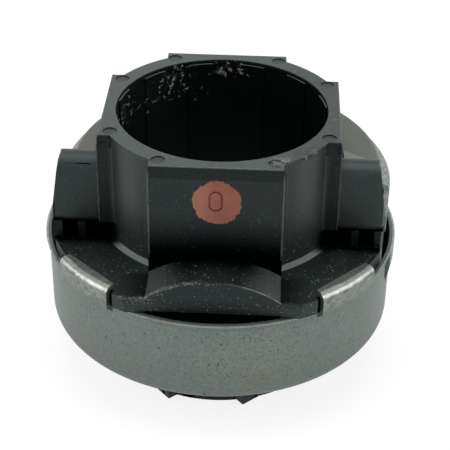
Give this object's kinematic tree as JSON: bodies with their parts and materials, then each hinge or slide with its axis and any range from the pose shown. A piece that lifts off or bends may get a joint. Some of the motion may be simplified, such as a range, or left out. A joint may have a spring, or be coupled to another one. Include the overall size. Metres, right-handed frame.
{
  "type": "clutch release thrust bearing",
  "caption": "Clutch release thrust bearing: plastic guide sleeve with a four-sided collar, side lugs and fork humps, crimped in a pressed steel cup over a floating ball bearing.",
  "frame": {"origin": "on the axis of the guide bore, at the end of the sleeve's nose on which the bearing stands", "axes": "+Z along the shaft, from the nose to the four-sided collar; -Y towards the camera's side with the paint mark; the side lugs lie along X"},
  "size_m": [0.0688, 0.0688, 0.0526],
  "materials": {
    "sleeve_plastic": "moulded black plastic, dusty",
    "cup_steel": "drawn sheet steel, dull satin with dark specks",
    "guard_steel": "pressed sheet steel, smooth and slightly brown",
    "bearing_steel": "ground bearing steel",
    "spring_steel": "spring steel strip",
    "ball_steel": "polished",
    "cage_plastic": "moulded, natural colour",
    "seal_rubber": "matt"
  },
  "bodies": {
    "housing": {"guide_sleeve": "sleeve_plastic", "bearing_cup": "cup_steel", "rear_guard": "guard_steel", "backing_washer": "bearing_steel"},
    "spring_carrier": {"wave_spring": "spring_steel"},
    "bearing_unit": {"outer_race": "bearing_steel", "lower_seal": "seal_rubber", "upper_seal": "seal_rubber"},
    "thrust_rotor": {"thrust_ring": "bearing_steel"},
    "cage_set": {"ball_cage": "cage_plastic", "ball_01": "ball_steel", "ball_02": "ball_steel", "ball_03": "ball_steel", "ball_04": "ball_steel", "ball_05": "ball_steel", "ball_06": "ball_steel", "ball_07": "ball_steel", "ball_08": "ball_steel", "ball_09": "ball_steel", "ball_10": "ball_steel", "ball_11": "ball_steel", "ball_12": "ball_steel", "ball_13": "ball_steel", "ball_14": "ball_steel", "ball_15": "ball_steel", "ball_16": "ball_steel", "ball_17": "ball_steel", "ball_18": "ball_steel", "ball_19": "ball_steel", "ball_20": "ball_steel"}
  },
  "joints": [
    {"name": "float_x", "type": "slide", "parent": "housing", "child": "spring_carrier", "axis": [1, 0, 0], "range_m": [-0.0005, 0.0005]},
    {"name": "float_y", "type": "slide", "parent": "spring_carrier", "child": "bearing_unit", "axis": [0, 1, 0], "range_m": [-0.0005, 0.0005]},
    {"name": "thrust_spin", "type": "hinge", "parent": "bearing_unit", "child": "thrust_rotor", "pos_m": [0, 0, 0.0186], "axis": [0, 0, 1], "continuous": true},
    {"name": "cage_spin", "type": "hinge", "parent": "bearing_unit", "child": "cage_set", "pos_m": [0, 0, 0.0186], "axis": [0, 0, 1], "continuous": true}
  ],
  "couplings": [
    {"joint": "cage_spin", "follows": "thrust_spin", "ratio": 0.4756}
  ]
}
